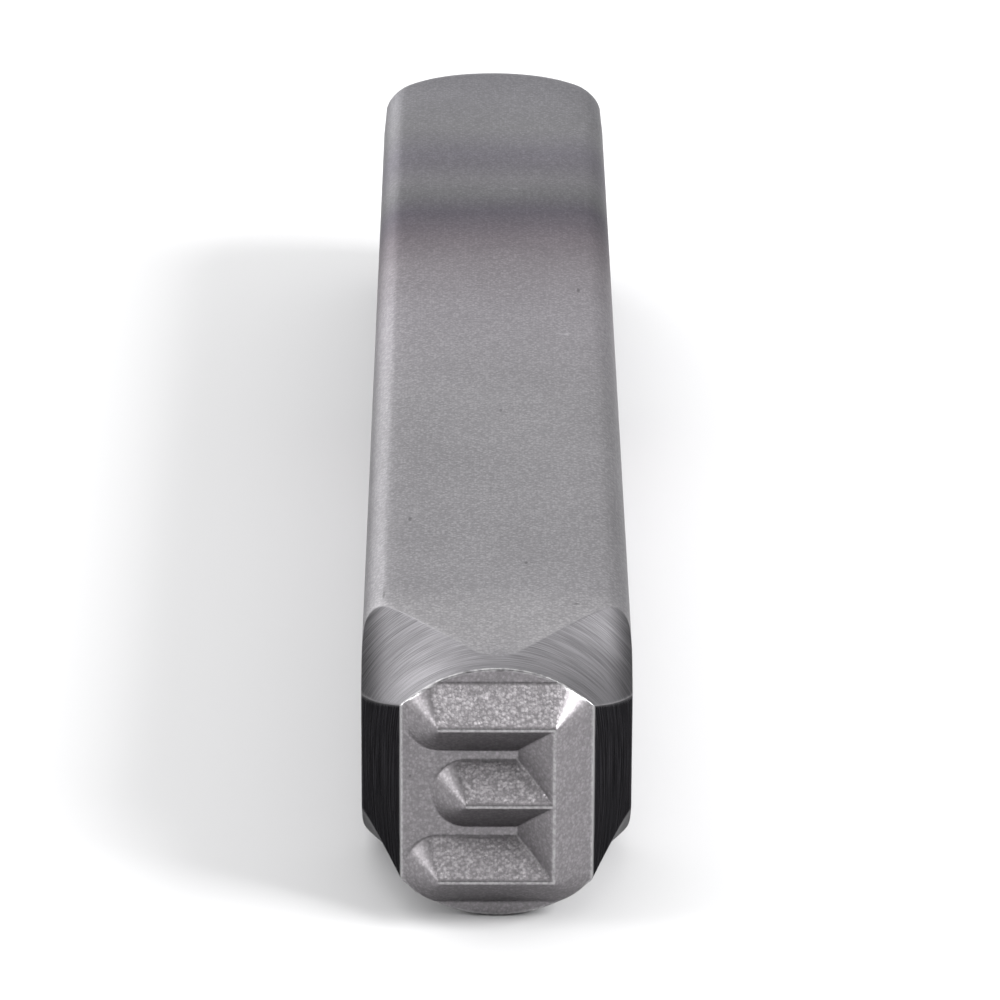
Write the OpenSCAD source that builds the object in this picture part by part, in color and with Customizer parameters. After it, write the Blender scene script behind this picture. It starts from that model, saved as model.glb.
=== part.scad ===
// Steel letter punch with a mirror-reversed letter E, lying on one side of its square shank.
// The letter faces -Y, the struck end faces +Y, and the shank rests on z = 0.
// The origin is under the middle of the punch, and every length is in millimetres.

/* [Shank] */
// Width across the flats of the square bar
shank_w = 10; // [9:0.5:12]
// Radius along the four long edges of the bar
edge_r = 0.9; // [0.5:0.1:1.2]
// Overall length from the letter's ridges to the struck end
punch_len = 70; // [55:1:90]

/* [Head] */
// How far the turned nose stays inside the bar's flats, all round
nose_inset = 0.05; // [0.02:0.01:0.15]
// Radius of the hollow flare that runs from the nose out to the bar
flare_r = 11.3; // [9:0.1:16]
// Width of the letter's floor between the two ground side flats
floor_w = 7; // [6.9:0.1:8]
// Angle between each side flat and the punch's axis, in degrees
flat_angle = 23; // [18:1:30]

/* [Letter] */
// Height of the character, between the ridges of its top and bottom arms
char_h = 6.1; // [5.4:0.05:6.3]
// Width of the character, from the ridge of its stem to the ends of its long arms
char_w = 4.15; // [3.6:0.05:4.2]
// Length of the middle arm's ridge
mid_arm = 3.15; // [2.6:0.05:3.4]
// Height of the ridges above the floor around the letter
relief_h = 1.2; // [0.8:0.05:1.3]
// Width of the narrow land along the top of each ridge
land_w = 0.12; // [0.06:0.01:0.2]
// Slope of the ridges' sides, in degrees from the punch's axis
slope_angle = 47; // [42:1:48]

/* [Struck end] */
// Radius that rounds the struck end over
crown_r = 5; // [4:0.1:6]
// Diameter of the flat that the hammer meets
strike_d = 5; // [4.5:0.1:6]

/* [Hidden] */
$fn = 128;
steel = "#9a999c";
// How far a shape that trims the solid reaches past it
clear = 2;
// How far the ridges are rooted below the floor
root = 1;
half_w = shank_w / 2;
// Distance from the axis to the outermost line of a rounded long edge
corner_reach = (half_w - edge_r) * sqrt(2) + edge_r;
// The turned surfaces cross the long edges a little outside them, so no surfaces only touch
turned_reach = corner_reach + 0.1;
nose_r = half_w - nose_inset;
// Places along the punch, counted from the floor around the letter
ridge_y = -relief_h;
strike_y = punch_len - relief_h;
// Centre of the arc that rounds the struck end
crown_axis = turned_reach - crown_r;
crown_y = strike_y - sqrt(pow(crown_r, 2) - pow(strike_d / 2 - crown_axis, 2));
// Half widths of a ridge at its land and where its sides reach the floor
land = land_w / 2;
foot = land + relief_h * tan(slope_angle);
// Where the ridges run: the stem is on the right and the arms point left
stem_x = char_w / 2;
arm_z = char_h / 2;

// Outline of the bar: a square with rounded corners
module bar_outline() {
    corner = half_w - edge_r;
    square([shank_w, 2 * corner], center = true);
    square([2 * corner, shank_w], center = true);
    for (x = [-1, 1], y = [-1, 1])
        translate([x, y] * corner) circle(r = edge_r);
}

// Half profile of the turned envelope: distance from the axis against place along the punch
module turned_profile() {
    difference() {
        translate([0, ridge_y]) square([turned_reach, crown_y - ridge_y]);
        translate([nose_r, ridge_y - clear]) square([flare_r, relief_h + clear]);
        translate([nose_r + flare_r, 0]) circle(r = flare_r);
    }
    translate([0, crown_y]) square([crown_axis, strike_y - crown_y]);
    intersection() {
        translate([crown_axis, crown_y]) circle(r = crown_r);
        translate([crown_axis, crown_y]) square([crown_r, strike_y - crown_y]);
    }
}

// What lies between the two side flats, which spread towards the shank until they miss it
module between_flats() {
    spread = tan(flat_angle);
    front_y = ridge_y - clear;
    front_x = floor_w / 2 + front_y * spread;
    back_x = half_w + clear;
    back_y = (back_x - floor_w / 2) / spread;
    end_y = strike_y + clear;
    linear_extrude(2 * back_x, center = true)
        polygon([[-front_x, front_y], [front_x, front_y], [back_x, back_y],
                 [back_x, end_y], [-back_x, end_y], [-back_x, back_y]]);
}

// The punch before its letter is cut: the bar, turned at both ends and ground at the sides
module blank() {
    intersection() {
        rotate([-90, 0, 0]) translate([0, 0, ridge_y - clear])
            linear_extrude(punch_len + 2 * clear) bar_outline();
        rotate([-90, 0, 0]) rotate_extrude() turned_profile();
        between_flats();
    }
}

// Straight stretch of ridge that runs up from the origin, with its land towards -Y
module ridge(length) {
    linear_extrude(length)
        polygon([[-foot, root], [-foot, 0], [-land, ridge_y], [land, ridge_y], [foot, 0], [foot, root]]);
}

// Conical end of a ridge, swept through an arc that starts at the given angle from +X towards +Z
module ridge_end(start, sweep) {
    rotate([90, 0, 0]) rotate([0, 0, start]) rotate_extrude(angle = sweep)
        polygon([[0, -root], [foot, -root], [foot, 0], [land, relief_h], [0, relief_h]]);
}

// Arm of the letter that points left from the stem's ridge
module arm(z, length) {
    translate([stem_x, 0, z]) rotate([0, -90, 0]) ridge(length);
    translate([stem_x - length, 0, z]) ridge_end(90, 180);
}

// The mirror-reversed letter E
module letter() {
    translate([stem_x, 0, -arm_z]) ridge(char_h);
    arm(arm_z, char_w);
    arm(0, mid_arm);
    arm(-arm_z, char_w);
    translate([stem_x, 0, arm_z]) ridge_end(0, 90);
    translate([stem_x, 0, -arm_z]) ridge_end(-90, 90);
}

// The finished punch: the blank keeps its letter and everything behind the floor
module punch() {
    color(steel) translate([0, relief_h - punch_len / 2, half_w]) intersection() {
        blank();
        union() {
            translate([-shank_w, 0, -shank_w]) cube([2 * shank_w, punch_len, 2 * shank_w]);
            letter();
        }
    }
}

punch();
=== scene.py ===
"""Looks of a steel letter punch that lies on one side of its square shank.

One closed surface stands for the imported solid. Its letter face is a height over a flat outline, and its
side is carried from that outline along the punch to the struck end. Lengths are in metres, and places along
the punch are counted from the floor around the letter, as the punch's drawing counts them.
"""
import logging
import math
from collections.abc import Sequence
from dataclasses import dataclass, field
from enum import Enum
from typing import Any

import bmesh
import bpy
import numpy as np
from mathutils import Matrix, Vector


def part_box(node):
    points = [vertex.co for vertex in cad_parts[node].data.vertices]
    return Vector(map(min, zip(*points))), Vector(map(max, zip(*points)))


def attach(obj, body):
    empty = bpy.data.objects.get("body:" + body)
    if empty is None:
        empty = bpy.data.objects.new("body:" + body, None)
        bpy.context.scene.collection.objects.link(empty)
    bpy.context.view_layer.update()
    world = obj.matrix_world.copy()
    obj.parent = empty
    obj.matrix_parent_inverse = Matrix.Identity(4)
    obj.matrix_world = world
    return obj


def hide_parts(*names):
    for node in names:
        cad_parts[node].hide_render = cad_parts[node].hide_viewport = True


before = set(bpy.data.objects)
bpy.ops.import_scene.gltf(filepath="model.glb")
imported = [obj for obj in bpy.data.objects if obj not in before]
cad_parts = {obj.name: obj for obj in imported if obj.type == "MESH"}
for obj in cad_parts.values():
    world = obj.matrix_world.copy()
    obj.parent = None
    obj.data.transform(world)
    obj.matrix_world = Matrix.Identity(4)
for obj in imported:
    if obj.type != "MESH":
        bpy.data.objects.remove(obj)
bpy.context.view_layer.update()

MM = 0.001
NODE = "punch"
# Least divisor, for a ray along a side flat and for a point on a stroke
TINY = 1e-6
Colour = tuple[float, float, float]
Place = tuple[float, float, float]
Span = tuple[float, float]
log = logging.getLogger("punch")


def placed(name: str, data: bpy.types.ID) -> bpy.types.Object:
    """Makes an object of a mesh, a camera or a lamp and links it to the scene.

    Args:
        name: Name of the object.
        data: What the object shows.

    Returns:
        The object.
    """
    made = bpy.data.objects.new(name, data)
    bpy.context.scene.collection.objects.link(made)
    return made


def aimed(place: Place, target: Place, roll: float = 0.0) -> Matrix:
    """Stands a camera or a lamp at a place and turns it to a target.

    Args:
        place: Where it stands.
        target: What it looks at.
        roll: Turn about the line of sight.

    Returns:
        The object's matrix.
    """
    turn = (Vector(target) - Vector(place)).to_track_quat("-Z", "Y").to_matrix()
    return Matrix.Translation(place) @ (turn @ Matrix.Rotation(roll, 3, "Z")).to_4x4()


def per_mm(*counts: float) -> tuple[float, ...]:
    """Turns counts per millimetre into counts per metre. One count stands for all three axes."""
    return tuple(count / MM for count in (counts if len(counts) > 1 else counts * 3))


def smooth_min(a: np.ndarray, b: np.ndarray, blend: float) -> np.ndarray:
    """Takes the lower of two values and rounds the corner where they cross.

    The lower value is reduced by g^2 / (4 blend), where g is how much less than blend the two values differ.

    Args:
        a: First values.
        b: Second values.
        blend: Difference past which nothing is rounded.

    Returns:
        The rounded lower values.
    """
    near = np.maximum(blend - np.abs(a - b), 0.0)
    return np.minimum(a, b) - near * near / (4.0 * blend)


def eased(value: np.ndarray, low: float, high: float) -> np.ndarray:
    """Rises smoothly from 0 at low to 1 at high, as 3 t^2 - 2 t^3.

    Args:
        value: Values to ease.
        low: Where the rise starts.
        high: Where the rise ends.

    Returns:
        Values from 0 to 1.
    """
    t = np.clip((value - low) / (high - low), 0.0, 1.0)
    return t * t * (3.0 - 2.0 * t)


def crowded(marks: Sequence[float], step: float, fewest: int = 4) -> np.ndarray:
    """Makes grid lines that pass through every mark and lie closer together near them.

    Between two marks a and b a line lies at a + (b - a) s, where s is the mean of t and (1 - cos(pi t)) / 2
    for even steps of t from 0 to 1.

    Args:
        marks: Places that a line has to pass through, in rising order.
        step: Mean distance between lines.
        fewest: Fewest steps between two marks.

    Returns:
        The places of the lines.
    """
    lines = [np.array([marks[0]])]
    for low, high in zip(marks, marks[1:]):
        count = max(fewest, round((high - low) / step))
        t = np.arange(1, count + 1) / count
        lines.append(low + (high - low) * (t + (1.0 - np.cos(np.pi * t)) / 2.0) / 2.0)
    return np.concatenate(lines)


@dataclass(frozen=True)
class PunchSizes:
    """Sizes of the punch, as its drawing gives them.

    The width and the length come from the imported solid, and the rest repeats the drawing's own values.
    """

    width: float
    length: float
    edge_r: float = 0.9 * MM
    nose_inset: float = 0.05 * MM
    flare_r: float = 11.3 * MM
    floor_w: float = 7.0 * MM
    flat_angle: float = math.radians(23.0)
    char_h: float = 6.1 * MM
    char_w: float = 4.15 * MM
    mid_arm: float = 3.15 * MM
    relief_h: float = 1.2 * MM
    land_w: float = 0.12 * MM
    slope_angle: float = math.radians(47.0)
    crown_r: float = 5.0 * MM
    strike_d: float = 5.0 * MM
    turned_spare: float = 0.1 * MM

    @property
    def half(self) -> float:
        """Half the width across the flats."""
        return self.width / 2.0

    @property
    def corner(self) -> float:
        """Distance from the axis planes to the centre of a long edge's rounding."""
        return self.half - self.edge_r

    @property
    def nose_r(self) -> float:
        """Radius of the turned nose."""
        return self.half - self.nose_inset

    @property
    def foot(self) -> float:
        """Distance from a ridge's middle line to where its sides meet the floor."""
        return self.land_w / 2.0 + self.relief_h * math.tan(self.slope_angle)

    @property
    def strike_y(self) -> float:
        """Place of the struck face along the punch."""
        return self.length - self.relief_h

    @property
    def crown_axis(self) -> float:
        """Distance from the axis to the centre of the arc that rounds the struck end."""
        reach = self.corner * math.sqrt(2.0) + self.edge_r + self.turned_spare
        return reach - self.crown_r

    @property
    def crown_y(self) -> float:
        """Place of that arc's centre along the punch."""
        return self.strike_y - math.sqrt(self.crown_r**2 - (self.strike_d / 2.0 - self.crown_axis) ** 2)


@dataclass(frozen=True)
class Stroke:
    """Straight line of the letter's skeleton, as (x, z) at its two ends."""

    start: Span
    end: Span

    def offset(self, x: np.ndarray, z: np.ndarray) -> tuple[np.ndarray, np.ndarray]:
        """Gives the vector from the nearest point of the stroke to each point.

        The nearest point is start + t (end - start), where t is the point's share of the way along the line,
        held between 0 and 1.

        Args:
            x: Places to the right.
            z: Heights.

        Returns:
            The vector's part to the right and its part upwards.
        """
        run_x = self.end[0] - self.start[0]
        run_z = self.end[1] - self.start[1]
        share = ((x - self.start[0]) * run_x + (z - self.start[1]) * run_z) / (run_x**2 + run_z**2)
        share = np.clip(share, 0.0, 1.0)
        return x - self.start[0] - share * run_x, z - self.start[1] - share * run_z


@dataclass(frozen=True)
class Letter:
    """The raised, mirror-reversed letter E: its stem is on the right and its arms point left."""

    sizes: PunchSizes
    ridge_round: float = 0.03 * MM
    foot_round: float = 0.045 * MM

    @property
    def strokes(self) -> tuple[Stroke, ...]:
        """The stem and the three arms.

        Returns:
            The strokes, the stem first.
        """
        stem = self.sizes.char_w / 2.0
        top = self.sizes.char_h / 2.0
        arms = {top: self.sizes.char_w, 0.0: self.sizes.mid_arm, -top: self.sizes.char_w}
        level = tuple(Stroke((stem, z), (stem - length, z)) for z, length in arms.items())
        return (Stroke((stem, -top), (stem, top)), *level)

    def nearest(self, x: np.ndarray, z: np.ndarray) -> tuple[np.ndarray, np.ndarray, np.ndarray]:
        """Measures from the letter's skeleton.

        Args:
            x: Places to the right.
            z: Heights.

        Returns:
            The distance to the nearest stroke, and the right and upward parts of the vector from it.
        """
        offsets = [stroke.offset(x, z) for stroke in self.strokes]
        distance = np.stack([np.hypot(dx, dz) for dx, dz in offsets])
        pick = np.argmin(distance, axis=0)[None]
        parts = (np.stack([o[i] for o in offsets]) for i in (0, 1))
        right, up = (np.take_along_axis(part, pick, axis=0)[0] for part in parts)
        return distance.min(axis=0), right, up

    def height(self, x: np.ndarray, z: np.ndarray) -> np.ndarray:
        """Gives how far the surface stands above the floor.

        It is (foot - d) / tan(slope) held between the floor and the lands, where d is the distance to the
        nearest stroke. Equal distances give conical ends and mitred inner corners.

        Args:
            x: Places to the right.
            z: Heights.

        Returns:
            Heights above the floor.
        """
        distance, _, _ = self.nearest(x, z)
        slope = (self.sizes.foot - distance) / math.tan(self.sizes.slope_angle)
        below_land = smooth_min(slope, np.full_like(slope, self.sizes.relief_h), self.ridge_round)
        return -smooth_min(-below_land, np.zeros_like(slope), self.foot_round)


@dataclass(frozen=True)
class Envelope:
    """Distance of the punch's side from its axis, for a direction round the axis and a place along it.

    The round values are how far from a crossing two surfaces blend. flare_share is the share of the flare's
    radius past which its arc is held, which is beyond the bar.
    """

    sizes: PunchSizes
    flat_round: float = 0.06 * MM
    flare_round: float = 0.05 * MM
    crown_round: float = 0.9 * MM
    flare_share: float = 0.9

    def floor_edge(self, turn: np.ndarray) -> np.ndarray:
        """Outline of the letter's floor: the nose circle between the two side flats."""
        flat = self.sizes.floor_w / 2.0 / np.maximum(np.abs(np.cos(turn)), TINY)
        return np.minimum(flat, self.sizes.nose_r)

    def bar(self, turn: np.ndarray) -> np.ndarray:
        """Outline of the bar: a square with rounded corners.

        A ray meets a side at half / cos, or the corner's circle at p + sqrt(r^2 - 2 c^2 + p^2), where c is
        the corner's distance from the axis planes and p is its distance along the ray.

        Args:
            turn: Directions round the axis.

        Returns:
            Distances from the axis.
        """
        wide = np.maximum(np.abs(np.cos(turn)), np.abs(np.sin(turn)))
        narrow = np.minimum(np.abs(np.cos(turn)), np.abs(np.sin(turn)))
        along = self.sizes.corner * (wide + narrow)
        inside = np.maximum(self.sizes.edge_r**2 - 2.0 * self.sizes.corner**2 + along**2, 0.0)
        on_side = self.sizes.half * narrow / wide <= self.sizes.corner
        return np.where(on_side, self.sizes.half / wide, along + np.sqrt(inside))

    def flat(self, turn: np.ndarray, y: np.ndarray) -> np.ndarray:
        """Side flat: x = half the floor's width + y tan(flat angle), measured along the ray."""
        x = self.sizes.floor_w / 2.0 + y * math.tan(self.sizes.flat_angle)
        return x / np.maximum(np.abs(np.cos(turn)), TINY)

    def flare(self, y: np.ndarray) -> np.ndarray:
        """Nose and hollow flare: nose radius + R - sqrt(R^2 - y^2), and the nose radius before the floor.

        Args:
            y: Places along the punch.

        Returns:
            Distances from the axis.
        """
        radius = self.sizes.flare_r
        inside = radius**2 - np.clip(y, 0.0, self.flare_share * radius) ** 2
        return self.sizes.nose_r + radius - np.sqrt(inside)

    def crown(self, y: np.ndarray) -> np.ndarray:
        """Rounded struck end: the arc's axis distance + sqrt(r^2 - (y - centre)^2)."""
        past = np.clip(y - self.sizes.crown_y, 0.0, self.sizes.crown_r)
        return self.sizes.crown_axis + np.sqrt(self.sizes.crown_r**2 - past**2)

    def reach(self, turn: np.ndarray, y: np.ndarray) -> np.ndarray:
        """Side's distance from the axis: the lowest of flat, flare, bar and crown, with rounded crossings.

        Args:
            turn: Directions round the axis.
            y: Places along the punch.

        Returns:
            Distances from the axis.
        """
        head = smooth_min(self.flat(turn, y), self.flare(y), self.flat_round)
        body = smooth_min(head, self.bar(turn), self.flare_round)
        return smooth_min(body, self.crown(y), self.crown_round)

    def flat_end(self, turn: np.ndarray) -> np.ndarray:
        """Place where a side flat gives way to the flare along one direction.

        It is the smaller root of A y^2 + 2 B y + C, which makes the flat's and the flare's distances equal.
        It is 0 where the flare starts at the floor, and infinite where the flat never meets it.

        Args:
            turn: Directions round the axis.

        Returns:
            Places along the punch.
        """
        c = np.maximum(np.abs(np.cos(turn)), TINY)
        t = math.tan(self.sizes.flat_angle)
        start = self.sizes.floor_w / 2.0 - c * (self.sizes.nose_r + self.sizes.flare_r)
        a = 1.0 + t * t / c**2
        b = t * start / c**2
        rest = b * b - a * (start**2 / c**2 - self.sizes.flare_r**2)
        root = (-b - np.sqrt(np.maximum(rest, 0.0))) / a
        return np.where(rest > 0.0, np.maximum(root, 0.0), np.inf)

    def head_end(self, turn: np.ndarray) -> np.ndarray:
        """Place where the bar starts: past both the side flat and the flare.

        Args:
            turn: Directions round the axis.

        Returns:
            Places along the punch.
        """
        bar = self.bar(turn)
        from_flare = np.sqrt(self.sizes.flare_r**2 - (self.sizes.nose_r + self.sizes.flare_r - bar) ** 2)
        flat_x = bar * np.abs(np.cos(turn)) - self.sizes.floor_w / 2.0
        return np.maximum(from_flare, flat_x / math.tan(self.sizes.flat_angle))

    def crown_angle(self, turn: np.ndarray) -> np.ndarray:
        """Angle on the struck end's arc at which it meets the bar, from square to the axis."""
        return np.arccos((self.bar(turn) - self.sizes.crown_axis) / self.sizes.crown_r)


class Finish(Enum):
    """How a stretch of surface was finished, or where light or shade is painted, by its mesh attribute's
    name.
    """

    TURNED = "turned"
    GROUND = "ground"
    # Slopes facing upwards: bumped grain, and painted glints that lift their colour
    UPWARD_GRAIN_AND_GLINT = "upward_grain_and_glint"
    FACE = "face"
    # Lighter colour along edges, lands and creases: partly wear, partly painted highlight
    WEAR_AND_HIGHLIGHT = "worn"
    # Painted shade: a dark line where a slope turns to face upwards
    PAINTED_SHADE_LINE = "painted_shade_line"


@dataclass
class Skin:
    """Points and faces of a surface, with a mark from 0 to 1 for each finish at each point."""

    points: np.ndarray
    faces: np.ndarray
    marks: dict[Finish, np.ndarray]

    def mesh(self, name: str, merge: float) -> bpy.types.Mesh:
        """Makes the mesh, merges the points that coincide at poles and where rows run out, and smooths it.

        The faces of the ground side flats take the second material.

        Args:
            name: Name of the mesh.
            merge: Distance below which points are one.

        Returns:
            The closed mesh.
        """
        mesh = bpy.data.meshes.new(name)
        mesh.from_pydata(self.points.tolist(), [], self.faces.tolist())
        for finish, values in self.marks.items():
            layer = mesh.attributes.new(finish.value, "FLOAT", "POINT")
            layer.data.foreach_set("value", values.astype(np.float32))
        ground = self.marks[Finish.GROUND][self.faces].mean(axis=1) > 0.5
        mesh.polygons.foreach_set("material_index", ground.astype(np.int32))
        work = bmesh.new()
        work.from_mesh(mesh)
        bmesh.ops.remove_doubles(work, verts=work.verts[:], dist=merge)
        work.to_mesh(mesh)
        work.free()
        mesh.shade_smooth()
        return mesh


@dataclass
class Punch:
    """The punch: one bar of tool steel with a letter at one end.

    The side has so many rows between its creases, and a crowd is how much and how hard they crowd at them.
    edge_share is how far inside the sharp edge the face's grid ends, and edge_run is how far behind it the
    side starts. Past arch_start the flare's crossing with the bar gets the lighter edge colour. An ease is
    where a mark rises from 0 to 1, and a wear-and-highlight value is its greatest strength. That lighter
    colour is partly wear, partly painted highlight along the edges.
    """

    sizes: PunchSizes
    grid: float = 0.052 * MM
    cap_rows: int = 22
    edge_share: float = 0.011
    edge_rows: int = 4
    edge_run: float = 0.06 * MM
    flat_rows: int = 12
    flare_rows: int = 26
    shank_rows: int = 12
    crown_rows: int = 20
    strike_rows: int = 4
    head_crowd: Span = (0.7, 2.0)
    shank_crowd: Span = (1.0, 4.0)
    merge: float = 0.0002 * MM
    finish_ease: Span = (-0.03 * MM, 0.03 * MM)
    slope_ease: Span = (0.02 * MM, 0.10 * MM)
    upward_ease: Span = (0.90, 0.985)
    land_ease: Span = (0.04 * MM, 0.07 * MM)
    rim_ease: Span = (0.04 * MM, 0.10 * MM)
    wear_and_highlight_ease: Span = (0.0, 0.07 * MM)
    arch_ease: Span = (0.0, 0.03 * MM)
    arch_start: float = 1.25 * MM
    # Strengths of the lighter edge colour: partly wear, partly painted highlight
    land_worn: float = 0.75
    rim_worn: float = 0.8
    flat_worn: float = 0.25
    arch_worn: float = 0.3
    letter: Letter = field(init=False)
    side: Envelope = field(init=False)

    def __post_init__(self) -> None:
        """Makes the letter and the envelope from the same sizes."""
        self.letter = Letter(self.sizes)
        self.side = Envelope(self.sizes)

    def face_plan(self) -> tuple[np.ndarray, np.ndarray]:
        """Lays a grid over the letter's floor, a little inside its edge.

        Columns keep their x. Rows keep their z between the corners, and beyond them a row lies at a share of
        the way from the corners' height to the nose circle, so the rows of a cap meet in its two corners.

        Returns:
            The grid's x and z, each with a row of the array for a row of the grid.
        """
        s = self.sizes
        shrink = 1.0 - self.edge_share
        side_x = s.floor_w / 2.0 * shrink
        circle = s.nose_r * shrink
        corner_z = math.sqrt(circle**2 - side_x**2)
        stem, top, land = s.char_w / 2.0, s.char_h / 2.0, s.land_w / 2.0
        arm_end, mid_end = stem - s.char_w, stem - s.mid_arm
        columns = [-side_x, arm_end - s.foot, mid_end - s.foot, arm_end, mid_end, stem - s.foot, stem - land]
        columns += [stem + land, side_x]
        rows = [land, s.foot, top - s.foot, top - land, top + land, corner_z]
        x_line = crowded(columns, self.grid)
        z_line = crowded([-z for z in reversed(rows)] + rows, self.grid)
        share = np.arange(1, self.cap_rows + 1)[:, None] / self.cap_rows
        cap = corner_z + share * (np.sqrt(circle**2 - x_line**2) - corner_z)
        middle = np.repeat(z_line[:, None], len(x_line), axis=1)
        z = np.concatenate([-cap[::-1], middle, cap])
        return np.repeat(x_line[None], len(z), axis=0), z

    def rim(self, rows: int, columns: int) -> np.ndarray:
        """Walks round the face grid's edge, counter-clockwise seen from the letter's side.

        Args:
            rows: Rows of the face grid.
            columns: Columns of the face grid.

        Returns:
            The grid's point numbers along the edge.
        """
        inner = np.arange(self.cap_rows + 1, rows - self.cap_rows - 1)
        across = np.arange(columns)
        bottom = across
        right = inner * columns + columns - 1
        top = (rows - 1) * columns + across[::-1]
        left = inner[::-1] * columns
        return np.concatenate([bottom, right, top, left])

    def stations(self, turn: np.ndarray, front: np.ndarray) -> np.ndarray:
        """Places the side's rows along the punch, so that a row follows every crease.

        Args:
            turn: Direction of each point of the rim round the axis.
            front: Place of the side's first row in each direction.

        Returns:
            Places along the punch, with a row for each of the side's rows.
        """
        s = self.sizes
        head = np.maximum(self.side.head_end(turn), front)
        flat = np.clip(self.side.flat_end(turn), front, head)
        arc_start = self.side.crown_angle(turn)
        arc_end = math.acos((s.strike_d / 2.0 - s.crown_axis) / s.crown_r)
        crown = s.crown_y + s.crown_r * np.sin(arc_start)
        arc_t = (np.arange(self.crown_rows + 1) / self.crown_rows)[:, None]
        arc = s.crown_y + s.crown_r * np.sin(arc_start + (arc_end - arc_start) * arc_t)
        return np.concatenate(
            [
                self.between(front, flat, self.flat_rows, *self.head_crowd),
                self.between(flat, head, self.flare_rows, *self.head_crowd),
                self.between(head, crown, self.shank_rows, *self.shank_crowd),
                arc,
            ]
        )

    @staticmethod
    def between(start: np.ndarray, end: np.ndarray, rows: int, crowd: float, power: float) -> np.ndarray:
        """Spreads rows from one crease to just before the next, closer together near both.

        A row lies at the share (1 - crowd) t + crowd e of the way, where e is
        t^power / (t^power + (1 - t)^power).

        Args:
            start: Place of the first crease.
            end: Place of the second crease.
            rows: Number of rows.
            crowd: 0 for even rows, 1 for the most crowded.
            power: How hard the rows crowd.

        Returns:
            Places along the punch, without the second crease's own row.
        """
        t = (np.arange(rows) / rows)[:, None]
        ease = t**power / (t**power + (1.0 - t) ** power)
        return start + (end - start) * ((1.0 - crowd) * t + crowd * ease)

    def skin(self) -> Skin:
        """Joins the face, the rounded edge round it, the side and the struck face into one closed surface.

        A point of the side lies at (reach cos, y, reach sin). The edge round the face is a quadratic curve
        from the face's rim over the sharp edge to the side's first row.

        Returns:
            The surface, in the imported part's frame.
        """
        s = self.sizes
        face_x, face_z = self.face_plan()
        face_h = self.letter.height(face_x, face_z)
        rows, columns = face_x.shape
        rim = self.rim(rows, columns)
        turn = np.arctan2(face_z.ravel()[rim], face_x.ravel()[rim])
        sharp_r = self.side.floor_edge(turn)
        sharp_y = -self.letter.height(sharp_r * np.cos(turn), sharp_r * np.sin(turn))
        side_y = self.stations(turn, sharp_y + self.edge_run)
        side_r = self.side.reach(turn[None], side_y)
        rim_r = np.hypot(face_x.ravel()[rim], face_z.ravel()[rim])
        t = (np.arange(1, self.edge_rows) / self.edge_rows)[:, None]
        edge_r = (1 - t) ** 2 * rim_r + 2 * t * (1 - t) * sharp_r + t**2 * side_r[0]
        edge_y = -((1 - t) ** 2) * face_h.ravel()[rim] + 2 * t * (1 - t) * sharp_y + t**2 * side_y[0]
        strike_t = 1.0 - (np.arange(1, self.strike_rows + 1) / self.strike_rows)[:, None]
        strike_r = side_r[-1] * strike_t
        strike_y = np.repeat(side_y[-1:], self.strike_rows, axis=0)
        band_r = np.concatenate([edge_r, side_r, strike_r])
        band_y = np.concatenate([edge_y, side_y, strike_y])
        band = np.stack([band_r * np.cos(turn), band_y, band_r * np.sin(turn)], axis=-1)
        face = np.stack([face_x, -face_h, face_z], axis=-1)
        points = np.concatenate([face.reshape(-1, 3), band.reshape(-1, 3)])
        faces = self.faces(rows, columns, rim, len(band))
        marks = self.marks(face_x, face_z, turn, band_y)
        points += (0.0, s.relief_h - s.length / 2.0, s.half)
        return Skin(points, faces, marks)

    @staticmethod
    def faces(rows: int, columns: int, rim: np.ndarray, band_rows: int) -> np.ndarray:
        """Lists the four-sided faces of the face grid and of the band that starts at its rim.

        Args:
            rows: Rows of the face grid.
            columns: Columns of the face grid.
            rim: Point numbers along the face's edge.
            band_rows: Rows of the band.

        Returns:
            Four point numbers for each face, in the order that turns its normal outwards.
        """
        low = (np.arange(rows - 1)[:, None] * columns + np.arange(columns - 1)).ravel()
        grid = np.stack([low, low + 1, low + columns + 1, low + columns], axis=-1)
        around = len(rim)
        rings = rows * columns + np.arange(band_rows * around).reshape(band_rows, around)
        rings = np.concatenate([rim[None], rings])
        ahead = np.roll(rings, -1, axis=1)
        band = np.stack([rings[:-1], rings[1:], ahead[1:], ahead[:-1]], axis=-1)
        return np.concatenate([grid, band.reshape(-1, 4)])

    def marks(
        self, face_x: np.ndarray, face_z: np.ndarray, turn: np.ndarray, band_y: np.ndarray
    ) -> dict[Finish, np.ndarray]:
        """Marks each point with its finish, and with where light and shade are painted.

        A turned or ground mark rises from 0 to 1 as its surface passes inside the others. The upward mark is
        on the slopes that face upwards, where bumped grain and painted glints lie, and the painted shade
        line's mark is 4 t (1 - t) where that share t falls away. The edge mark is highest along the face's
        rounded edge, and less on the letter's lands and along the creases of the head; its lighter colour is
        partly wear, partly painted highlight.

        Args:
            face_x: The face grid's places to the right.
            face_z: The face grid's heights.
            turn: Direction of each point of the rim round the axis.
            band_y: Places of the band's points along the punch.

        Returns:
            The marks of all points.
        """
        s = self.sizes
        distance, _, up = self.letter.nearest(face_x, face_z)
        height = self.letter.height(face_x, face_z)
        slope = eased(height, *self.slope_ease) * eased(s.relief_h - height, *self.slope_ease)
        # How far a slope faces upwards: where grain and painted glints lie
        share = eased(up / np.maximum(distance, TINY), *self.upward_ease)
        # Painted shade line where the upward share falls away
        painted_shade_line = 4.0 * share * (1.0 - share) * slope
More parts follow.
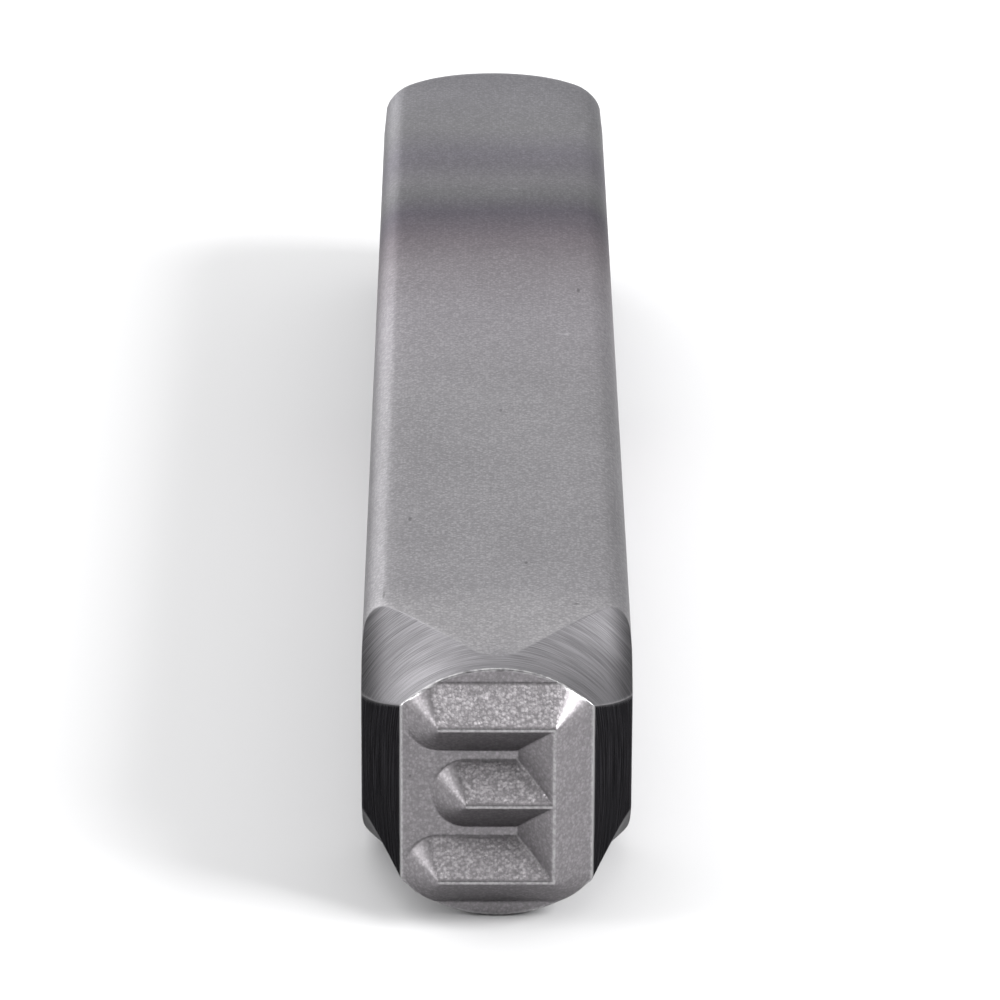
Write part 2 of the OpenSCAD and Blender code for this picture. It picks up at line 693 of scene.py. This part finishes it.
        # Lighter lands and rim: partly wear, partly painted highlight
        land = self.land_worn * (1.0 - eased(distance, *self.land_ease))
        inside = np.minimum(s.floor_w / 2.0 - np.abs(face_x), s.nose_r - np.hypot(face_x, face_z))
        rim_face = self.rim_worn * (1.0 - eased(inside, *self.rim_ease))
        flat = self.side.flat(turn[None], band_y)
        flare = self.side.flare(band_y)
        bar = np.repeat(self.side.bar(turn)[None], len(band_y), axis=0)
        turned = eased(np.minimum(flat, bar) - flare, *self.finish_ease)
        ground = eased(np.minimum(flare, bar) - flat, *self.finish_ease)
        first_y = band_y[self.edge_rows - 1]
        # Lighter rows along the side's edge, creases and arch: partly wear, partly painted highlight
        rim_side = 1.0 - eased(band_y - first_y, *self.wear_and_highlight_ease)
        crease = 1.0 - eased(np.abs(np.minimum(flare, bar) - flat), *self.wear_and_highlight_ease)
        crease = self.flat_worn * crease * (band_y < s.half)
        arch = 1.0 - eased(np.abs(np.minimum(flat, bar) - flare), *self.arch_ease)
        arch = self.arch_worn * arch * (flat > flare) * (band_y > self.arch_start)
        worn = np.maximum(rim_side, np.maximum(crease, arch))
        off_face = np.zeros_like(face_x)
        off_band = np.zeros_like(band_y)
        pairs = {
            Finish.TURNED: (off_face, turned),
            Finish.GROUND: (off_face, ground),
            Finish.UPWARD_GRAIN_AND_GLINT: (share * slope, off_band),
            Finish.FACE: (np.ones_like(face_x), band_y < first_y),
            Finish.WEAR_AND_HIGHLIGHT: (np.maximum(land, rim_face), worn),
            Finish.PAINTED_SHADE_LINE: (painted_shade_line, off_band),
        }
        return {finish: np.concatenate([part.ravel() for part in parts]) for finish, parts in pairs.items()}

    def build(self, steel: "PunchSteel") -> bpy.types.Object:
        """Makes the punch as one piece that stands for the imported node.

        Args:
            steel: The punch's steel.

        Returns:
            The piece.
        """
        mesh = self.skin().mesh("punch_skin", self.merge)
        mesh.materials.append(steel.body())
        mesh.materials.append(steel.side_flats())
        piece = placed("punch_steel", mesh)
        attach(piece, "root")
        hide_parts(NODE)
        return piece


@dataclass(frozen=True)
class Range:
    """How a pattern's values become others: from a low and a high to another two, held past both."""

    source: Span
    target: Span


class Value:
    """Output socket of a shader node, on which Python's operators add Math nodes."""

    def __init__(self, graph: "Graph", socket: bpy.types.NodeSocket) -> None:
        """Keeps the socket and the graph that new nodes go into."""
        self.graph = graph
        self.socket = socket

    def _math(self, operation: str, first: Any, second: Any) -> "Value":
        """Adds a Math node.

        Args:
            operation: The node's operation.
            first: First value, a number or another Value.
            second: Second value, a number or another Value.

        Returns:
            The node's result.
        """
        return self.graph.node("ShaderNodeMath", {"operation": operation}, {0: first, 1: second})

    def __add__(self, other: Any) -> "Value":
        """Value + other."""
        return self._math("ADD", self, other)

    def __radd__(self, other: Any) -> "Value":
        """Other + value."""
        return self._math("ADD", other, self)

    def __sub__(self, other: Any) -> "Value":
        """Value - other."""
        return self._math("SUBTRACT", self, other)

    def __rsub__(self, other: Any) -> "Value":
        """Other - value."""
        return self._math("SUBTRACT", other, self)

    def __mul__(self, other: Any) -> "Value":
        """Value * other."""
        return self._math("MULTIPLY", self, other)

    def __rmul__(self, other: Any) -> "Value":
        """Other * value."""
        return self._math("MULTIPLY", other, self)

    def __truediv__(self, other: Any) -> "Value":
        """Value / other."""
        return self._math("DIVIDE", self, other)

    def __pow__(self, other: Any) -> "Value":
        """Value to the power of other."""
        return self._math("POWER", self, other)

    def __abs__(self) -> "Value":
        """Value without its sign."""
        return self._math("ABSOLUTE", self, 0.0)

    def at_least(self, low: float) -> "Value":
        """The value or low, whichever is more."""
        return self._math("MAXIMUM", self, low)

    def sibling(self, output: str) -> "Value":
        """Another output of the same node."""
        return Value(self.graph, self.socket.node.outputs[output])


class Graph:
    """Node tree of one material or of the world."""

    def __init__(self, tree: bpy.types.NodeTree) -> None:
        """Keeps the tree and empties it."""
        self.tree = tree
        self.tree.nodes.clear()

    def node(self, kind: str, settings: dict[str, Any], values: dict[Any, Any], output: Any = 0) -> Value:
        """Adds a node.

        Args:
            kind: The node's type.
            settings: Its settings, set first. The key stops holds a ramp's (place, colour) pairs.
            values: A number, colour or Value for each input, by the input's name or number. A colour is
                three numbers.
            output: Name or number of the output that is wanted.

        Returns:
            That output.
        """
        made = self.tree.nodes.new(kind)
        for name, setting in settings.items():
            if name == "stops":
                self._fill_ramp(made.color_ramp, setting)
            else:
                setattr(made, name, setting)
        for name, value in values.items():
            socket = made.inputs[name]
            if isinstance(value, Value):
                self.tree.links.new(value.socket, socket)
            elif socket.type == "RGBA":
                socket.default_value = (*value, 1.0)
            else:
                socket.default_value = value
        return Value(self, made.outputs[output] if len(made.outputs) else None)

    @staticmethod
    def _fill_ramp(ramp: bpy.types.ColorRamp, stops: Sequence[tuple[float, Sequence[float]]]) -> None:
        """Gives a colour ramp its stops.

        Args:
            ramp: The ramp.
            stops: Each stop's place and colour, in order.
        """
        while len(ramp.elements) < len(stops):
            ramp.elements.new(0.5)
        for element, (place, colour) in zip(ramp.elements, stops):
            element.position = place
            element.color = (*colour, 1.0)

    def mark(self, finish: Finish) -> Value:
        """Reads a finish's mark from the mesh."""
        return self.node("ShaderNodeAttribute", {"attribute_name": finish.value}, {}, "Fac")

    def mix(self, share: Any, first: Any, second: Any) -> Value:
        """Mixes two colours.

        Args:
            share: How much of the second, from 0 to 1.
            first: First colour.
            second: Second colour.

        Returns:
            The mixed colour.
        """
        values = {0: share, 6: first, 7: second}
        return self.node("ShaderNodeMix", {"data_type": "RGBA"}, values, 2)

    def tint(self, colour: Any, factor: Any) -> Value:
        """Multiplies a colour by another colour."""
        settings = {"data_type": "RGBA", "blend_type": "MULTIPLY"}
        return self.node("ShaderNodeMix", settings, {0: 1.0, 6: colour, 7: factor}, 2)

    def grey(self, value: Value) -> Value:
        """Turns a number into a grey colour."""
        return self.node("ShaderNodeCombineColor", {}, {0: value, 1: value, 2: value})

    def place(self) -> Value:
        """Reads the Object coordinates."""
        return self.node("ShaderNodeTexCoord", {}, {}, "Object")

    def along(self, axis: str) -> Value:
        """Reads one axis of the Object coordinates: X, Y or Z."""
        return self.node("ShaderNodeSeparateXYZ", {}, {0: self.place()}, axis)

    def stretched(self, scale: Sequence[float]) -> Value:
        """Gives the Object coordinates, stretched along each axis."""
        return self.node("ShaderNodeMapping", {}, {"Vector": self.place(), "Scale": tuple(scale)})

    def noise(self, scale: Sequence[float], detail: float = 2.0, rough: float = 0.5) -> Value:
        """Makes a noise on the Object coordinates.

        Args:
            scale: Lumps per metre along each axis.
            detail: Octaves of finer lumps.
            rough: Strength of the finer lumps.

        Returns:
            The noise, about 0.5 on average.
        """
        values = {"Vector": self.stretched(scale), "Scale": 1.0, "Detail": detail, "Roughness": rough}
        return self.node("ShaderNodeTexNoise", {}, values)

    def grains(self, scale: Sequence[float], fall: float = 1.2) -> Value:
        """Makes round grains on the Object coordinates, one in each small uneven cell.

        A grain is 1 - fall d, where d is the distance from its middle in cells, times its own number from 0
        to 1.

        Args:
            scale: Cells per metre along each axis.
            fall: How fast a grain falls off.

        Returns:
            A number from 0 between the grains to 1 in the middle of the brightest.
        """
        values = {"Vector": self.stretched(scale), "Scale": 1.0}
        distance = self.node("ShaderNodeTexVoronoi", {"feature": "F1"}, values, "Distance")
        own = self.node("ShaderNodeSeparateColor", {}, {0: distance.sibling("Color")})
        return (1.0 - distance * fall).at_least(0.0) * own

    def spread(self, value: Value, by: Range) -> Value:
        """Maps a range of values to another, easing in and out of both ends."""
        values = {0: value, 1: by.source[0], 2: by.source[1], 3: by.target[0], 4: by.target[1]}
        return self.node("ShaderNodeMapRange", {"interpolation_type": "SMOOTHSTEP"}, values)


@dataclass(frozen=True)
class BlastedSteel:
    """Steel blasted with fine grit: an even grey with a fine grain, the finish of the shank and the face.

    Grain, cells and clouds are counts per millimetre. The greys multiply the colour.
    """

    colour: Colour = (0.286, 0.279, 0.291)
    roughness: float = 0.42
    grain: float = 8.0
    grain_share: float = 0.75
    cell: float = 9.0
    cell_share: float = 0.45
    pepper_greys: Range = Range((0.25, 0.75), (0.80, 1.24))
    grain_depth: float = 0.005 * MM
    cloud: float = 0.18
    cloud_greys: Range = Range((0.3, 0.7), (0.955, 1.035))

    def colour_of(self, g: Graph) -> Value:
        """Grey with faint clouds and a fine salt-and-pepper grain.

        Args:
            g: The material's node tree.

        Returns:
            The colour.
        """
        clouds = g.spread(g.noise(per_mm(self.cloud), detail=3.0), self.cloud_greys)
        grit = g.noise(per_mm(self.grain), detail=3.0, rough=0.8) * self.grain_share
        grit = grit + g.grains(per_mm(self.cell)) * self.cell_share
        return g.tint(self.colour, g.grey(clouds * g.spread(grit, self.pepper_greys)))

    def height_of(self, g: Graph) -> Value:
        """Height of the grain."""
        return g.noise(per_mm(self.grain), detail=3.0, rough=0.65) * self.grain_depth


@dataclass(frozen=True)
class TurnedSteel:
    """Steel ground on a turning bar: fine lines run round the axis, coarser ones here and there.

    Lines are counts per millimetre along the punch, and breaks are counts per millimetre round it. The greys
    multiply the colour, by the lines and by the distance from the middle plane; the darkening towards the
    bar's sides is painted shade.
    """

    colour: Colour = (0.246, 0.240, 0.252)
    roughness: float = 0.38
    lines: float = 24.0
    breaks: float = 0.5
    coarse_lines: float = 7.2
    coarse_breaks: float = 0.25
    coarse_share: float = 0.2
    depth: float = 0.008 * MM
    line_greys: Range = Range((0.3, 0.7), (0.56, 1.26))
    # Painted shade: the flare's grey falls towards the bar's two sides
    side_painted_shade: Range = Range((3.9 * MM, 5.0 * MM), (1.0, 0.34))

    def lines_of(self, g: Graph) -> Value:
        """Lines at an even place along the axis, broken up slowly round it.

        Args:
            g: The material's node tree.

        Returns:
            The lines, about 0.5 on average.
        """
        fine = g.noise(per_mm(self.breaks, self.lines, self.breaks), detail=2.0, rough=0.7)
        coarse = g.noise(per_mm(self.coarse_breaks, self.coarse_lines, self.coarse_breaks), detail=1.0)
        return fine * (1.0 - self.coarse_share) + coarse * self.coarse_share

    def colour_of(self, g: Graph, lines: Value) -> Value:
        """Grey with the lines in it, darkened towards the bar's two sides by painted shade.

        Args:
            g: The material's node tree.
            lines: The lines.

        Returns:
            The colour.
        """
        # Painted shade towards the bar's sides
        sides = g.spread(abs(g.along("X")), self.side_painted_shade)
        return g.tint(self.colour, g.grey(g.spread(lines, self.line_greys) * sides))


@dataclass(frozen=True)
class GroundSteel:
    """Steel ground flat on a wheel: close lines run up and down, a little curved.

    Lines are counts per millimetre along the punch, and breaks are counts per millimetre up it. The grey is
    far darker than the other steel and the edge tint is low: painted shade on the flats, as if close
    neighbours shaded them.
    """

    # Painted shade: a near-black grey for the flats, darker than the steel's own colour
    colour: Colour = (0.044, 0.043, 0.046)
    roughness: float = 0.36
    line_roughness: float = 0.1
    lines: float = 9.0
    breaks: float = 0.3
    bow: float = 0.045
    bow_height: float = 5.0
    depth: float = 0.010 * MM
    line_greys: Range = Range((0.25, 0.75), (0.6, 1.5))
    # Low edge tint: more painted shade, dimming the flats' glancing reflections
    edge_tint: float = 0.26

    def lines_of(self, g: Graph) -> Value:
        """Lines across the flat whose place along the punch bows by bow (z - bow height)^2, in millimetres.

        Args:
            g: The material's node tree.

        Returns:
            The lines, about 0.5 on average.
        """
        y, z = (g.along(axis) / MM for axis in ("Y", "Z"))
        across = (y + (z - self.bow_height) ** 2.0 * self.bow) * self.lines
        bent = g.node("ShaderNodeCombineXYZ", {}, {"X": 0.0, "Y": across, "Z": z * self.breaks})
        values = {"Vector": bent, "Scale": 1.0, "Detail": 2.0, "Roughness": 0.7}
        return g.node("ShaderNodeTexNoise", {}, values)


@dataclass(frozen=True)
class TemperColours:
    """Bands of temper colour across the shank, from the struck end's heating, and a bright one at the head.

    Places are in millimetres along the punch from the middle of its length, and tints multiply the steel's
    colour. The bands waver across the shank, by a noise of so many lumps per millimetre.
    """

    start: float = -35.0
    end: float = 35.0
    tints: tuple[tuple[float, Colour], ...] = (
        (-32.6, (1.0, 1.0, 1.0)),
        (-31.0, (1.14, 1.14, 1.13)),
        (-28.6, (1.14, 1.14, 1.13)),
        (-26.4, (0.97, 0.97, 0.97)),
        (-16.0, (0.96, 0.96, 0.96)),
        (-8.0, (1.0, 1.0, 1.0)),
        (2.0, (1.06, 1.04, 1.06)),
        (8.0, (0.86, 0.82, 0.84)),
        (11.0, (0.68, 0.63, 0.66)),
        (12.6, (0.54, 0.50, 0.54)),
        (14.6, (0.44, 0.42, 0.47)),
        (16.8, (0.60, 0.61, 0.61)),
        (18.6, (0.70, 0.70, 0.71)),
        (20.6, (0.64, 0.63, 0.67)),
        (22.0, (0.66, 0.65, 0.70)),
        (25.5, (0.81, 0.82, 0.82)),
        (33.0, (0.89, 0.895, 0.92)),
    )
    waver: float = 0.5
    waver_lumps: float = 0.12

    def tint_of(self, g: Graph) -> Value:
        """Colour to multiply the steel by: the ramp of tints at y + waver (2 noise - 1).

        Args:
            g: The material's node tree.

        Returns:
            The tint.
        """
        length = self.end - self.start
        y = g.along("Y") / MM + (g.noise(per_mm(self.waver_lumps)) - 0.5) * (2.0 * self.waver)
        stops = [((place - self.start) / length, tint) for place, tint in self.tints]
        return g.node("ShaderNodeValToRGB", {"stops": stops}, {0: (y - self.start) / length})


@dataclass(frozen=True)
class Nick:
    """Small nick or speck in the surface: its place and half sizes in millimetres, and how bright it is."""

    place: Place
    reach: Place
    shade: float
    strength: Range = Range((0.45, 1.0), (1.0, 0.0))

    def over(self, g: Graph, colour: Value) -> Value:
        """Draws the nick over a colour.

        Its strength falls with the length of (place - nick's place) / reach.

        Args:
            g: The material's node tree.
            colour: Colour of the steel without the nick.

        Returns:
            The colour with the nick.
        """
        away = [-middle / reach for middle, reach in zip(self.place, self.reach)]
        scale = per_mm(*(1.0 / reach for reach in self.reach))
        moved = g.node("ShaderNodeMapping", {}, {"Vector": g.place(), "Location": away, "Scale": scale})
        distance = g.node("ShaderNodeVectorMath", {"operation": "LENGTH"}, {0: moved}, "Value")
        return g.mix(g.spread(distance, self.strength), colour, g.tint(colour, (self.shade,) * 3))


@dataclass(frozen=True)
class PunchSteel:
    """The punch's steel, with each finish where the mesh marks it.

    Wear patches and speckles are counts per millimetre, and shares are how much of a colour or a pattern is
    laid on. The face's darker tint, the glints on upward slopes and the dark line beside them are painted
    light and shade; the lighter colour along edges is partly wear, partly painted highlight.
    """

    blasted: BlastedSteel = BlastedSteel()
    turned: TurnedSteel = TurnedSteel()
    ground: GroundSteel = GroundSteel()
    temper: TemperColours = TemperColours()
    # Painted shade: the letter's face is darker than the shank
    face_painted_shade: Colour = (0.85, 0.83, 0.83)
    # Lighter colour along edges: partly wear, partly painted highlight
    worn_colour: Colour = (0.50, 0.495, 0.50)
    wear: float = 6.0
    wear_and_highlight_patches: Range = Range((0.38, 0.62), (0.3, 1.0))
    worn_share: float = 0.8
    worn_flat_share: float = 0.7
    worn_polish: float = 0.08
    edge_tint: float = 0.5
    # Darkness of the painted shade line
    painted_line_darkness: float = 0.35
    speckle: float = 7.6
    fine_speckle: float = 12.0
    fine_share: float = 0.6
    # Painted glints: the grains lift the colour of upward slopes 1.1 to 2.15 times
    speckle_painted_glints: Range = Range((-0.1, 0.85), (1.10, 2.15))
    speckle_depth: float = 0.012 * MM
    nicks: tuple[Nick, ...] = (
        Nick((2.92, -28.05, 10.0), (0.20, 0.09, 0.3), 0.62),
        Nick((-4.2, -27.0, 10.0), (0.08, 0.50, 0.3), 0.68),
        Nick((-3.3, -20.0, 10.0), (0.10, 0.22, 0.3), 0.65),
        Nick((1.1, -24.2, 10.0), (0.08, 0.14, 0.3), 0.6),
        Nick((0.9, 17.5, 10.0), (0.30, 0.20, 0.3), 1.22),
        Nick((2.9, -0.3, 10.0), (0.35, 0.16, 0.3), 1.25),
        Nick((3.5, 4.8, 10.0), (0.09, 0.35, 0.3), 0.66),
        Nick((0.2, -8.8, 10.0), (0.07, 0.26, 0.3), 0.7),
        Nick((-1.13, -33.9, 9.82), (0.34, 0.3, 0.07), 0.5),
        Nick((0.1, -33.9, 9.88), (0.26, 0.3, 0.06), 0.55),
        Nick((-3.16, -33.8, 5.68), (0.06, 0.2, 0.09), 0.62),
        Nick((1.38, -33.8, 0.2), (0.10, 0.3, 0.10), 2.2),
    )

    def body(self) -> bpy.types.Material:
        """Builds the steel of the shank, the flare and the letter.

        Returns:
            The material.
        """
        made, g = self.start("tool_steel")
        turned, upward_grain_and_glint, worn = (g.mark(mark) for mark in (Finish.TURNED, Finish.UPWARD_GRAIN_AND_GLINT, Finish.WEAR_AND_HIGHLIGHT))
        lines = self.turned.lines_of(g)
        specks = g.grains(per_mm(self.speckle)) + g.grains(per_mm(self.fine_speckle)) * self.fine_share
        colour = g.tint(self.blasted.colour_of(g), self.temper.tint_of(g))
        # Painted shade over the whole letter face
        colour = g.mix(g.mark(Finish.FACE), colour, g.tint(colour, self.face_painted_shade))
        # Painted glints and brightening on the slopes that face upwards
        colour = g.mix(upward_grain_and_glint, colour, g.tint(colour, g.grey(g.spread(specks, self.speckle_painted_glints))))
        # Painted shade line beside the upward slopes
        colour = g.tint(colour, g.grey(1.0 - g.mark(Finish.PAINTED_SHADE_LINE) * self.painted_line_darkness))
        colour = g.mix(turned, colour, self.turned.colour_of(g, lines))
        # Lighter edges: partly wear, partly painted highlight
        patches = g.spread(g.noise(per_mm(self.wear)), self.wear_and_highlight_patches)
        colour = g.mix(worn * patches * self.worn_share, colour, self.worn_colour)
        for nick in self.nicks:
            colour = nick.over(g, colour)
        rough = self.blasted.roughness + turned * (self.turned.roughness - self.blasted.roughness)
        height = self.blasted.height_of(g) * (1.0 - turned) + lines * turned * self.turned.depth
        height = height + specks * upward_grain_and_glint * self.speckle_depth
        self.end(g, colour, rough - worn * self.worn_polish, height, self.edge_tint)
        return made

    def side_flats(self) -> bpy.types.Material:
        """Builds the ground steel of the two side flats, whose dark grey is painted shade.

        Returns:
            The material.
        """
        made, g = self.start("ground_flats")
        lines = self.ground.lines_of(g)
        # Dark grey of the flats: painted shade
        colour = g.tint(self.ground.colour, g.grey(g.spread(lines, self.ground.line_greys)))
        # Lighter creases of the flats: partly wear, partly painted highlight
        colour = g.mix(g.mark(Finish.WEAR_AND_HIGHLIGHT) * self.worn_flat_share, colour, self.worn_colour)
        rough = self.ground.roughness + lines * self.ground.line_roughness
        self.end(g, colour, rough, lines * self.ground.depth, self.ground.edge_tint)
        return made

    @staticmethod
    def start(name: str) -> tuple[bpy.types.Material, Graph]:
        """Starts a material.

        Args:
            name: Name of the material.

        Returns:
            The material and its empty node tree.
        """
        made = bpy.data.materials.new(name)
        made.use_nodes = True
        return made, Graph(made.node_tree)

    @staticmethod
    def end(g: Graph, colour: Value, rough: Value, height: Value, edge_tint: float) -> None:
        """Ends a steel with its shader.

        Args:
            g: The material's node tree.
            colour: Base colour.
            rough: Roughness.
            height: Height of the surface's grain, in metres.
            edge_tint: How bright the steel is at a grazing angle.
        """
        bump = g.node("ShaderNodeBump", {}, {"Strength": 1.0, "Distance": 1.0, "Height": height})
        values = {"Base Color": colour, "Metallic": 1.0, "Roughness": rough, "Normal": bump}
        values["Specular Tint"] = (edge_tint,) * 3
        shader = g.node("ShaderNodeBsdfPrincipled", {}, values)
        g.node("ShaderNodeOutputMaterial", {}, {"Surface": shader})


@dataclass(frozen=True)
class Viewpoint:
    """The camera: it looks at the punch from the photo's place and is zoomed in on it."""

    place: Place = (-0.9 * MM, -232.0 * MM, 99.2 * MM)
    target: Place = (0.2 * MM, -6.1 * MM, 5.0 * MM)
    roll: float = math.radians(0.24)
    sensor: float = 36.0
    photo_lens: float = 74.3
    zoom: float = 2.92
    clip_start: float = 10.0 * MM

    def build(self) -> bpy.types.Object:
        """Makes the camera and gives it to the scene.

        Returns:
            The camera.
        """
        data = bpy.data.cameras.new("camera")
        data.sensor_width = self.sensor
        data.lens = self.photo_lens * self.zoom
        data.clip_start = self.clip_start
        camera = placed("camera", data)
        camera.matrix_world = aimed(self.place, self.target, self.roll)
        bpy.context.scene.camera = camera
        return camera


@dataclass(frozen=True)
class Lamp:
    """Square soft lamp: where it stands, what it is aimed at, its side and its power."""

    name: str
    place: Place
    side: float
    power: float
    target: Place = (0.0, 0.0, 5.0 * MM)

    def build(self) -> bpy.types.Object:
        """Makes the lamp.

        Returns:
            The lamp.
        """
        data = bpy.data.lights.new(self.name, "AREA")
        data.shape = "SQUARE"
        data.size = self.side
        data.energy = self.power
        lamp = placed(self.name, data)
        lamp.matrix_world = aimed(self.place, self.target)
        return lamp


@dataclass(frozen=True)
class Studio:
    """Plain pale floor and soft light.

    sky is the world's strength from the horizon upwards. It rises by behind at the struck end's side, and
    falls by lean on the right.
    """

    floor_half: float = 2.0
    floor_drop: float = 0.01 * MM
    floor_colour: Colour = (0.63, 0.63, 0.635)
    floor_roughness: float = 0.9
    sky: Range = Range((0.0, 0.6), (0.30, 1.0))
    sky_colour: Colour = (1.0, 1.0, 1.0)
    behind: float = 0.52
    lean: float = 0.10
    lamps: tuple[Lamp, ...] = (
        Lamp("key_lamp", (-0.20, 0.16, 0.60), 0.50, 0.9),
        Lamp("left_lamp", (-0.25, 0.42, 0.12), 0.26, 0.5),
        Lamp("left_front_lamp", (-0.44, -0.12, 0.22), 0.14, 0.9),
        Lamp("cone_lamp", (0.46, -0.16, 0.33), 0.26, 4.4),
    )

    def build(self) -> None:
        """Makes the floor, the world and the lamps."""
        self.floor()
        self.world()
        for lamp in self.lamps:
            lamp.build()

    def floor(self) -> bpy.types.Object:
        """Makes the floor, a hair below the punch's underside so that the two don't share a plane.

        Returns:
            The floor.
        """
        mesh = bpy.data.meshes.new("floor")
        h, z = self.floor_half, -self.floor_drop
        mesh.from_pydata([(-h, -h, z), (h, -h, z), (h, h, z), (-h, h, z)], [], [(0, 1, 2, 3)])
        material = bpy.data.materials.new("floor_paper")
        material.use_nodes = True
        g = Graph(material.node_tree)
        values = {"Base Color": self.floor_colour, "Roughness": self.floor_roughness}
        shader = g.node("ShaderNodeBsdfPrincipled", {}, values)
        g.node("ShaderNodeOutputMaterial", {}, {"Surface": shader})
        mesh.materials.append(material)
        made = placed("floor", mesh)
        return made

    def world(self) -> None:
        """Makes the world's soft light: sky(up) + behind * back - lean * right."""
        world = bpy.data.worlds.new("studio")
        world.use_nodes = True
        g = Graph(world.node_tree)
        way = g.node("ShaderNodeTexCoord", {}, {}, "Generated")
        right = g.node("ShaderNodeSeparateXYZ", {}, {0: way}, "X")
        back, up = right.sibling("Y"), right.sibling("Z")
        strength = g.spread(up, self.sky) + back * self.behind - right * self.lean
        light = g.node("ShaderNodeBackground", {}, {"Color": self.sky_colour, "Strength": strength})
        g.node("ShaderNodeOutputWorld", {}, {"Surface": light})
        bpy.context.scene.world = world


def main() -> None:
    """Builds the scene in order and reports each piece."""
    logging.basicConfig(level=logging.INFO, format="%(message)s")
    bpy.context.scene.view_settings.view_transform = "Standard"
    Viewpoint().build()
    low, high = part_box(NODE)
    sizes = PunchSizes(width=high[2] - low[2], length=high[1] - low[1])
    piece = Punch(sizes).build(PunchSteel())
    log.info("%s: %d faces", piece.name, len(piece.data.polygons))
    Studio().build()


if __name__ == "__main__":
    main()
